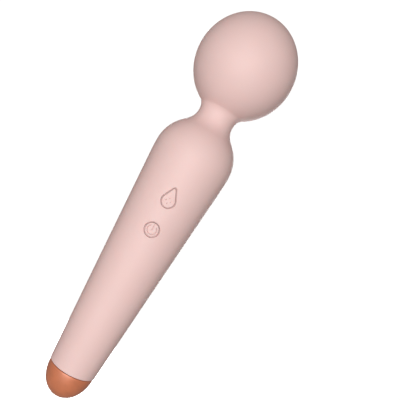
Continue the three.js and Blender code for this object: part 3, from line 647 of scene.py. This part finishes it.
def between(tree, value, low, high):
    """value from 0.3 to 0.7 mapped to low to high."""
    node = tree.nodes.new("ShaderNodeMapRange")
    node.inputs["From Min"].default_value = 0.3
    node.inputs["From Max"].default_value = 0.7
    node.inputs["To Min"].default_value = low
    node.inputs["To Max"].default_value = high
    tree.links.new(value, node.inputs["Value"])
    return node.outputs["Result"]


def tint(tree, value, dark, light):
    """A colour between dark and light as value goes from 0.3 to 0.7."""
    node = tree.nodes.new("ShaderNodeValToRGB")
    node.color_ramp.elements[0].position = 0.3
    node.color_ramp.elements[0].color = (*dark, 1)
    node.color_ramp.elements[1].position = 0.7
    node.color_ramp.elements[1].color = (*light, 1)
    tree.links.new(value, node.inputs["Fac"])
    return node.outputs["Color"]


def bump(tree, value, distance, strength=1.0, under=None):
    """A bump of that height in metres, on top of another one if under is given."""
    node = tree.nodes.new("ShaderNodeBump")
    node.inputs["Distance"].default_value = distance
    node.inputs["Strength"].default_value = strength
    tree.links.new(value, node.inputs["Height"])
    if under:
        tree.links.new(under, node.inputs["Normal"])
    return node.outputs["Normal"]


def shades(colour, spread):
    """A darker and a lighter version of a colour."""
    return [tuple(min(1.0, c * (1 + side * spread)) for c in colour) for side in (-1, 1)]


def finish_material(name, colour, rough, spread=0.06, grain=2500, height=0.00001, mottle=120, **sockets):
    """A surface with mottled colour, uneven roughness and a fine grain."""
    material, tree, body = shader(name)
    dark, light = shades(colour, spread)
    tree.links.new(tint(tree, noise(tree, mottle), dark, light), body.inputs["Base Color"])
    tree.links.new(between(tree, noise(tree, mottle * 5), *rough), body.inputs["Roughness"])
    tree.links.new(bump(tree, noise(tree, grain, 4), height), body.inputs["Normal"])
    for socket, value in sockets.items():
        body.inputs[socket.replace("_", " ")].default_value = value
    return material


def silicone():
    """Matte, slightly translucent liquid silicone rubber with the fine blast texture of its mould, and
    painted shade mixed into its grooves.
    """
    material, tree, body = shader("pink_silicone")
    dark, light = shades(SILICONE_COLOUR, 0.012)
    skin = tint(tree, noise(tree, 45, 3), dark, light)
    # painted shade: the colour goes from the skin's tint to the darker groove colour as the points sink into
    # a groove
    painted_shade = tree.nodes.new("ShaderNodeAttribute")
    painted_shade.attribute_name = SHADE_ATTRIBUTE
    mix = tree.nodes.new("ShaderNodeMix")
    mix.data_type = "RGBA"
    tree.links.new(painted_shade.outputs["Fac"], mix.inputs["Factor"])
    tree.links.new(skin, mix.inputs["A"])
    mix.inputs["B"].default_value = (*GROOVE_SHADE_COLOUR, 1)
    tree.links.new(mix.outputs["Result"], body.inputs["Base Color"])
    tree.links.new(between(tree, noise(tree, 700, 3), 0.5, 0.6), body.inputs["Roughness"])
    peel = bump(tree, noise(tree, 900, 2), 0.000012)
    blast = bump(tree, noise(tree, 7000, 3), 0.000006, under=peel)
    tree.links.new(blast, body.inputs["Normal"])
    body.inputs["Specular IOR Level"].default_value = 0.35
    body.inputs["Subsurface Weight"].default_value = 0.12
    body.inputs["Subsurface Radius"].default_value = (1.0, 0.45, 0.32)
    body.inputs["Subsurface Scale"].default_value = 0.0005
    return material


def copper_paint():
    """Satin copper coloured finish: a slightly metallic colour with a fine flake under a soft clear coat."""
    material, tree, body = shader("copper_finish")
    dark, light = shades(COPPER_COLOUR, 0.07)
    tree.links.new(tint(tree, noise(tree, 260, 4), dark, light), body.inputs["Base Color"])
    tree.links.new(between(tree, noise(tree, 1500, 3), 0.46, 0.56), body.inputs["Roughness"])
    flake = bump(tree, noise(tree, 9000, 2), 0.000006)
    tree.links.new(flake, body.inputs["Normal"])
    body.inputs["Metallic"].default_value = 0.25
    body.inputs["Coat Weight"].default_value = 1.0
    body.inputs["Coat Roughness"].default_value = 0.45
    body.inputs["Coat IOR"].default_value = 1.7
    return material


def brushed(name, colour, rough, stretch):
    """Metal with a fine grain along one direction."""
    material, tree, body = shader(name)
    dark, light = shades(colour, 0.08)
    grain = noise(tree, 1800, 3, stretch)
    tree.links.new(tint(tree, grain, dark, light), body.inputs["Base Color"])
    tree.links.new(between(tree, grain, *rough), body.inputs["Roughness"])
    tree.links.new(bump(tree, grain, 0.000008), body.inputs["Normal"])
    body.inputs["Metallic"].default_value = 1.0
    return material


def slot_materials():
    """A material for each of the record's slots."""
    turned_way = (1, 1, 12)  # a grain that runs round the axis
    made = {
        "abs": finish_material("moulded_abs", (0.8, 0.78, 0.73), (0.38, 0.52), 0.03),
        "nylon": finish_material("glass_filled_nylon", (0.09, 0.095, 0.1), (0.5, 0.68), 0.15, 1500, 0.00002),
        "black_plastic": finish_material("black_plastic", (0.012, 0.012, 0.014), (0.36, 0.5), 0.2),
        "steel": brushed("plain_steel", (0.56, 0.57, 0.58), (0.22, 0.36), turned_way),
        "spring": brushed("spring_steel", (0.4, 0.42, 0.44), (0.25, 0.4), (1, 1, 1)),
        "gold": finish_material("gold_plate", (0.86, 0.58, 0.2), (0.16, 0.26), 0.05, Metallic=1.0),
        "nickel": finish_material("nickel_plate", (0.62, 0.6, 0.55), (0.18, 0.3), 0.05, Metallic=1.0),
        "battery": finish_material("battery_wrap", (0.03, 0.16, 0.34), (0.22, 0.32), 0.08, 900),
        "board": finish_material("solder_mask", (0.014, 0.11, 0.045), (0.28, 0.4), 0.18, 1300),
        "foam": finish_material("grey_foam", (0.07, 0.07, 0.075), (0.85, 0.98), 0.3, 1600, 0.00012),
        "rubber": finish_material("black_rubber", (0.016, 0.016, 0.018), (0.62, 0.78), 0.2, 2000),
        "red_wire": finish_material("red_insulation", (0.45, 0.02, 0.025), (0.35, 0.48), 0.08),
        "black_wire": finish_material("black_insulation", (0.009, 0.009, 0.011), (0.38, 0.5), 0.15),
        "bronze": brushed("sintered_bronze", (0.4, 0.19, 0.055), (0.32, 0.5), turned_way),
        "ferrite": finish_material("dark_ferrite", (0.035, 0.037, 0.042), (0.55, 0.72), 0.2, 1800, 0.00002),
        "weight": brushed("sintered_weight", (0.19, 0.19, 0.2), (0.35, 0.5), turned_way),
        "lens": finish_material("white_moulding", (0.82, 0.8, 0.74), (0.3, 0.42), 0.03),
    }
    made["skin"] = silicone()
    made["copper"] = copper_paint()
    return made


def paint_nodes(materials):
    """Gives every CAD node that still shows its slot's material."""
    slots = {entry["node"]: entry["material_slot"] for entry in frame["record"]["subparts"]}
    for name, node in frame["nodes"].items():
        material = materials[slots[name]]
        if node.material_slots:
            for place in node.material_slots:
                place.material = material
        else:
            node.data.materials.append(material)


# ---- camera, lights and floor ----
LIGHTS = {  # place, side and power of each soft square light
    "key": ((-0.085, -0.9, 0.08), 0.6, 7.7),
    "back": ((0.1, 0.9, 0.14), 0.7, 6.8),
}
LIT_POINT = (0, 0, 0.1)
AMBIENT = 0.24
AMBIENT_COLOUR = (1.0, 0.92, 0.87)
# away and height in millimetres, the turns down, to the right and about the view in degrees
CAMERA = {"away": 269.8, "height": 115.0, "down": 0.861, "aside": 2.649, "roll": 30.0, "lens": 52.23}


def add_camera():
    """In front of the wand at the buttons' side, turned so that the wand leans to the right."""
    down, aside, roll = (math.radians(CAMERA[key]) for key in ("down", "aside", "roll"))
    ahead = Vector((math.sin(aside) * math.cos(down), math.cos(aside) * math.cos(down), -math.sin(down)))
    level = ahead.cross(Vector((0, 0, 1))).normalized()
    upright = level.cross(ahead)
    right = level * math.cos(roll) + upright * math.sin(roll)
    up = upright * math.cos(roll) - level * math.sin(roll)
    data = bpy.data.cameras.new("camera")
    data.lens = CAMERA["lens"]
    data.sensor_width = 36
    data.clip_start = 0.01
    data.clip_end = 50
    camera = bpy.data.objects.new("camera", data)
    turn = Matrix((right, up, -ahead)).transposed().to_4x4()
    camera.matrix_world = Matrix.Translation(Vector((0, -CAMERA["away"], CAMERA["height"])) * MM) @ turn
    bpy.context.scene.collection.objects.link(camera)
    bpy.context.scene.camera = camera


def add_light(name, place, size, power):
    data = bpy.data.lights.new(name, "AREA")
    data.shape = "RECTANGLE"
    data.size = size
    data.size_y = size
    data.energy = power
    light = bpy.data.objects.new(name, data)
    light.location = place
    aim = Vector(LIT_POINT) - Vector(place)
    light.rotation_euler = aim.to_track_quat("-Z", "Y").to_euler()
    bpy.context.scene.collection.objects.link(light)


def add_lights():
    """One soft light in front, one behind, and an even, slightly warm light from all round."""
    for name, (place, size, power) in LIGHTS.items():
        add_light(name, place, size, power)
    world = bpy.data.worlds.new("studio")
    world.use_nodes = True
    soft = world.node_tree.nodes["Background"]
    soft.inputs["Color"].default_value = (*AMBIENT_COLOUR, 1)
    soft.inputs["Strength"].default_value = AMBIENT
    bpy.context.scene.world = world


def add_floor():
    """A wide pale floor that sweeps up into a backdrop. It glows evenly, and only the camera sees it."""
    low, reach, bend = -250.0, 4000.0, 1500.0
    profile = [(0.0, low), (reach - bend, low)]
    profile += rounded(reach - bend, low + bend, bend, -86, 0, 12)
    profile += [(reach, 2 * reach), (0.0, 2 * reach)]
    material, tree, body = shader("pale_floor")
    tree.links.new(tint(tree, noise(tree, 3), FLOOR_DARK, FLOOR_LIGHT), body.inputs["Base Color"])
    body.inputs["Roughness"].default_value = 0.9
    body.inputs["Emission Color"].default_value = (1, 1, 1, 1)
    body.inputs["Emission Strength"].default_value = 0.83
    floor = turned("floor", profile, material, 64)
    for kind in ("diffuse", "glossy", "transmission", "shadow"):
        setattr(floor, f"visible_{kind}", False)


# ---- assembly ----
def bend_lower(obj):
    """Bakes the placement of a piece of the neck's lower half into its mesh."""
    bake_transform(obj)


def bend_upper(obj):
    """Bakes the placement of a piece of the neck's upper half into its mesh."""
    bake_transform(obj)


def build_outside(materials):
    """The silicone skin, its two buttons and the copper cap."""
    skin = materials["skin"]
    lower = lower_skin(skin)
    bend_lower(lower)
    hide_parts("handle_skin", "neck_sleeve")
    upper = upper_skin(skin)
    bend_upper(upper)
    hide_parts("head_skin")
    buttons = (
        ("power_button_pad", circle_outline, POWER_Z, power_symbol, "power_button", "power_pad"),
        ("mode_button_pad", drop_outline, MODE_Z, mode_dots, "mode_button", "mode_pad"),
    )
    for name, outline, z, mark, body, node in buttons:
        pad = button_pad(name, outline, z, mark, skin)
        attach(pad, body)
        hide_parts(node)
    cap = tail_cap(materials["copper"])
    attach(cap, "handle")
    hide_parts("tail_cap")


def build_inside(materials):
    """The contacts in the tail's tip and the soft pieces that the solids only stand in for."""
    pin_high = box_of("charge_pin_positive")[1][2]
    pieces = (
        (contact_face, (), "handle", "black_plastic", "contact_insulator"),
        (charge_pin, ("contact_pin_positive", PIN_X, pin_high), "handle", "gold", "charge_pin_positive"),
        (charge_pin, ("contact_pin_negative", -PIN_X, pin_high), "handle", "gold", "charge_pin_negative"),
        (foam_pad, (), "handle", "foam", "battery_pad"),
        (seal_ring, (), "handle", "rubber", "cap_seal"),
        (rubber_mount, (), "head", "rubber", "motor_mount"),
    )
    for make, values, body, slot, node in pieces:
        made = make(*values, materials[slot])
        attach(made, body)
        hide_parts(node)


def build_neck_core(materials):
    """The spring and the motor's cable, each in two halves that meet at the neck's waist, as the skin's two
    halves do.
    """
    halves = (("lower", SPRING["low"], NECK_Z, bend_lower), ("upper", NECK_Z, SPRING["high"], bend_upper))
    for half, low, high, bend in halves:
        spring = tube(f"neck_spring_{half}", spring_path(low, high), SPRING["wire"], materials["spring"])
        bend(spring)
        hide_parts("neck_spring")
        z = np.linspace(max(low, CABLE["low"]), min(high, CABLE["high"]), 24)
        straight = np.stack([0 * z, 0 * z, z], axis=1)
        cable = tube(f"neck_cable_{half}", straight, CABLE["radius"], materials["black_wire"])
        bend(cable)
        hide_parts("motor_cable_neck")


add_camera()
add_lights()
add_floor()
bpy.context.scene.view_settings.view_transform = "Standard"
all_materials = slot_materials()
paint_nodes(all_materials)
build_outside(all_materials)
build_inside(all_materials)
build_neck_core(all_materials)
